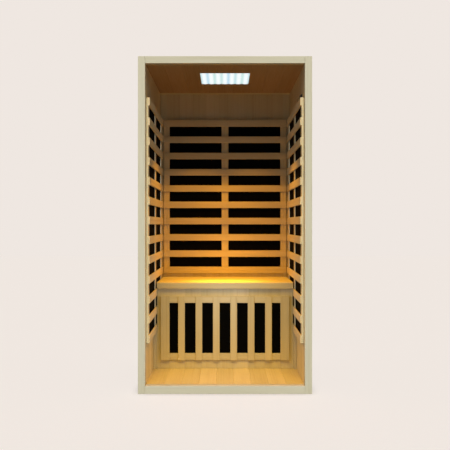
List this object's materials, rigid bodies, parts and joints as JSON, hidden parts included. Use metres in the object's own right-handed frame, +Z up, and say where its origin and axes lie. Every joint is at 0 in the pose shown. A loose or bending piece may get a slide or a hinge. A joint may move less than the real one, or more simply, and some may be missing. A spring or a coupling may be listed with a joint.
{
  "type": "infrared sauna cabin",
  "caption": "Open-fronted infrared sauna cabin of pale wood with slatted heater guards on the walls and bench front, a pull-out bench seat and a square ceiling light.",
  "frame": {"origin": "on the ground under the middle of the cabin's footprint", "axes": "+Z up, +Y from the open front to the back wall, +X to the right as seen from the front"},
  "size_m": [0.98, 0.9, 1.9533],
  "materials": {
    "frame_wood": "sanded pale hemlock",
    "board_wood": "sanded hemlock boards",
    "slat_wood": "sanded hemlock slats",
    "bench_wood": "smooth sanded hemlock",
    "heater_black": "matt black laminate",
    "light_white": "white enamel",
    "lens": "frosted fluted acrylic",
    "led_board": "white circuit board",
    "control_black": "satin black",
    "control_glass": "black glass",
    "box_grey": "grey powder coat",
    "gland_black": "moulded nylon"
  },
  "bodies": {
    "cabin": {"left_wall_frame": "frame_wood", "left_inner_cladding": "board_wood", "left_outer_cladding": "board_wood", "right_wall_frame": "frame_wood", "right_inner_cladding": "board_wood", "right_outer_cladding": "board_wood", "back_wall_frame": "frame_wood", "back_inner_cladding": "board_wood", "back_outer_cladding": "board_wood", "roof_frame": "frame_wood", "ceiling_cladding": "board_wood", "roof_cover": "board_wood", "floor_frame": "frame_wood", "floor_boards": "board_wood", "left_heater": "heater_black", "right_heater": "heater_black", "back_heater_left": "heater_black", "back_heater_right": "heater_black", "bench_heater": "heater_black", "left_guard": "slat_wood", "right_guard": "slat_wood", "back_guard_stile_left": "slat_wood", "back_guard_stile_middle": "slat_wood", "back_guard_stile_right": "slat_wood", "back_guard_slat_1": "slat_wood", "back_guard_slat_2": "slat_wood", "back_guard_slat_3": "slat_wood", "back_guard_slat_4": "slat_wood", "back_guard_slat_5": "slat_wood", "back_guard_slat_6": "slat_wood", "back_guard_slat_7": "slat_wood", "back_guard_slat_8": "slat_wood", "back_guard_slat_9": "slat_wood", "back_guard_slat_10": "slat_wood", "bench_guard_rail_bottom": "slat_wood", "bench_guard_rail_top": "slat_wood", "bench_guard_slat_1": "slat_wood", "bench_guard_slat_2": "slat_wood", "bench_guard_slat_3": "slat_wood", "bench_guard_slat_4": "slat_wood", "bench_guard_slat_5": "slat_wood", "bench_guard_slat_6": "slat_wood", "bench_guard_slat_7": "slat_wood", "bench_guard_slat_8": "slat_wood", "bench_panel": "board_wood", "bench_support_left": "board_wood", "bench_support_right": "board_wood", "panel_batten_left": "frame_wood", "panel_batten_right": "frame_wood", "light_housing": "light_white", "led_board": "led_board", "light_lens": "lens", "control_housing": "control_black", "control_glass": "control_glass", "power_box": "box_grey", "cord_gland": "gland_black"},
    "bench_seat": {"seat_boards": "bench_wood", "seat_nosing": "bench_wood", "seat_batten_left": "bench_wood", "seat_batten_right": "bench_wood"}
  },
  "joints": [
    {"name": "bench_slide", "type": "slide", "parent": "cabin", "child": "bench_seat", "axis": [0, -1, 0], "range_m": [0, 0.86]}
  ]
}
